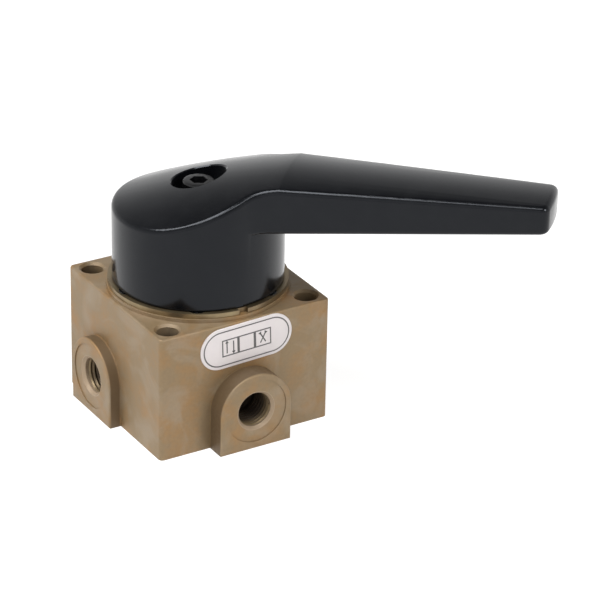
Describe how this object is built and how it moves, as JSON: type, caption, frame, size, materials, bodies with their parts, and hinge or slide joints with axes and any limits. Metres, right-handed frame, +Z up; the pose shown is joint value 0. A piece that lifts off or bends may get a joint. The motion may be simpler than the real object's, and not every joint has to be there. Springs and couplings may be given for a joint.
{
  "type": "hand lever air valve",
  "caption": "Square rotary disc valve with threaded side ports, corner bolt holes and a long black hand lever that swings over the top.",
  "frame": {"origin": "centre of the flat base of the valve body", "axes": "+Z up along the stem, -Y out of the supply port under the label, -X and +X out of the outlet ports; the lever rests over the +X-Y corner"},
  "size_m": [0.1179, 0.1208, 0.0859],
  "materials": {
    "bronze_casting": "satin cast bronze-coloured finish",
    "bronze_cover": "turned, satin",
    "black_handle": "glossy moulded black",
    "label_white": "smooth white",
    "black_oxide_steel": "black oxide",
    "bright_steel": "bright machined",
    "spring_steel": "drawn wire",
    "stainless_stem": "ground",
    "lapped_disc": "lapped acetal",
    "lapped_seat": "lapped",
    "seal_rubber": "nitrile rubber",
    "washer_plastic": "acetal washer",
    "bush_bronze": "sintered bronze"
  },
  "bodies": {
    "valve": {"valve_body": "bronze_casting", "seat_plate": "lapped_seat", "seat_pins": "bright_steel", "port_seals": "seal_rubber", "thrust_washer": "washer_plastic", "stem_bush": "bush_bronze", "cover": "bronze_cover", "cover_oring": "seal_rubber", "cover_screws": "bright_steel", "stop_pin": "bright_steel", "label_plate": "label_white"},
    "lever": {"handle": "black_handle", "drive_insert": "bright_steel", "handle_washer": "bright_steel", "handle_screw": "black_oxide_steel", "stem": "stainless_stem", "stem_oring": "seal_rubber", "rotor_disc": "lapped_disc", "rotor_spring": "spring_steel", "detent_ball_left": "bright_steel", "detent_ball_right": "bright_steel", "detent_spring_left": "spring_steel", "detent_spring_right": "spring_steel"}
  },
  "joints": [
    {"name": "lever_swing", "type": "hinge", "parent": "valve", "child": "lever", "pos_m": [0, 0, 0.05], "axis": [0, 0, -1], "range_deg": [0, 90]}
  ]
}
